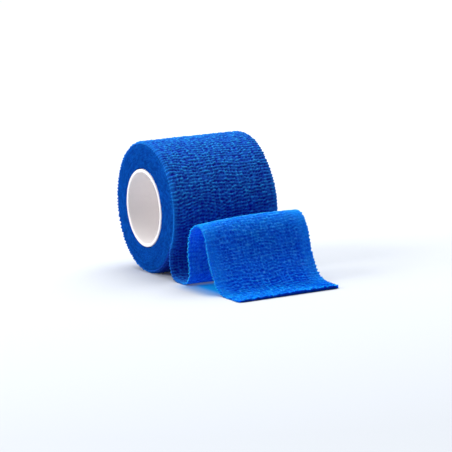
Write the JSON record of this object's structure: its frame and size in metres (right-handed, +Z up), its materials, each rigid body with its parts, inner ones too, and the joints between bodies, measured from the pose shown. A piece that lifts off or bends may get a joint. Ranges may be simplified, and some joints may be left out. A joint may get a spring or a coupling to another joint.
{
  "type": "cohesive bandage roll",
  "caption": "Roll of crinkled elastic cohesive bandage on a paperboard core, its loose end arched and laid out in front.",
  "frame": {"origin": "on the floor under the middle of the whole object's bounding box", "axes": "+X along the roll's axis, -Y from the roll towards the loose end's cut edge, +Z up"},
  "size_m": [0.05, 0.1136, 0.0569],
  "materials": {
    "wound_cloth": "matt crinkled elastic cloth, wound in tight turns",
    "loose_cloth": "matt crinkled elastic cloth, a single layer",
    "paperboard": "plain white paperboard"
  },
  "bodies": {
    "root": {"wound_roll": "wound_cloth", "loose_end": "loose_cloth", "core": "paperboard"}
  },
  "joints": []
}
